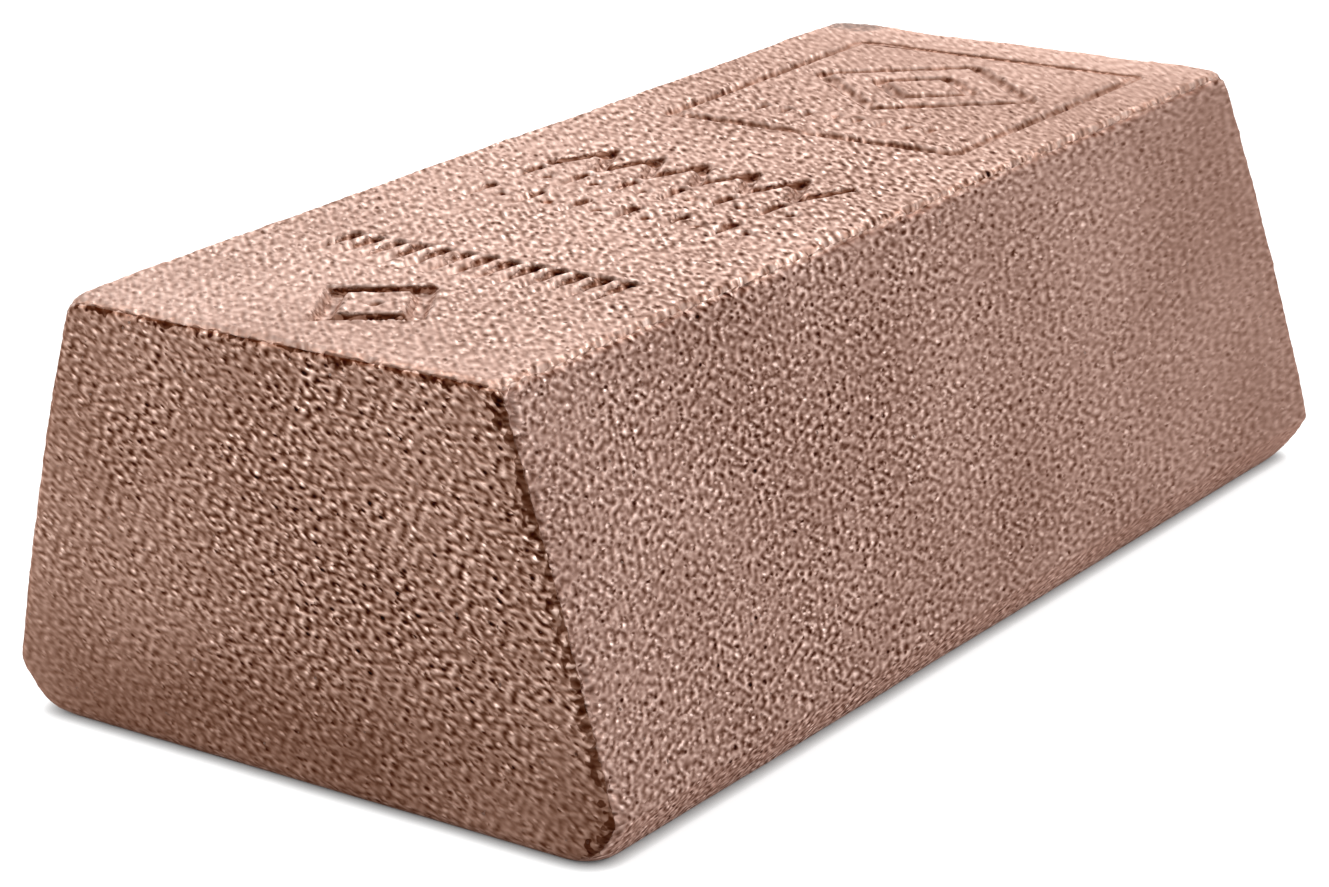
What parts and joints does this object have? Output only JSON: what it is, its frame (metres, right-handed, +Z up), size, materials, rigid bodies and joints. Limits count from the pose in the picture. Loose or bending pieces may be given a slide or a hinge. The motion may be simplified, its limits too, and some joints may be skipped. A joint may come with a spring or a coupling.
{
  "type": "copper ingot",
  "caption": "Cast copper ingot: a short block with drafted long sides, rounded edges and plain punched marks on its narrow top face, lying on its wide face.",
  "frame": {"origin": "middle of the wide flat face that the ingot lies on", "axes": "+Z up to the marked narrow face, Y along the length, X across the width"},
  "size_m": [0.05, 0.0872, 0.0293],
  "materials": {
    "copper": "as-cast, matt and finely granular"
  },
  "bodies": {
    "root": {"ingot": "copper"}
  },
  "joints": []
}
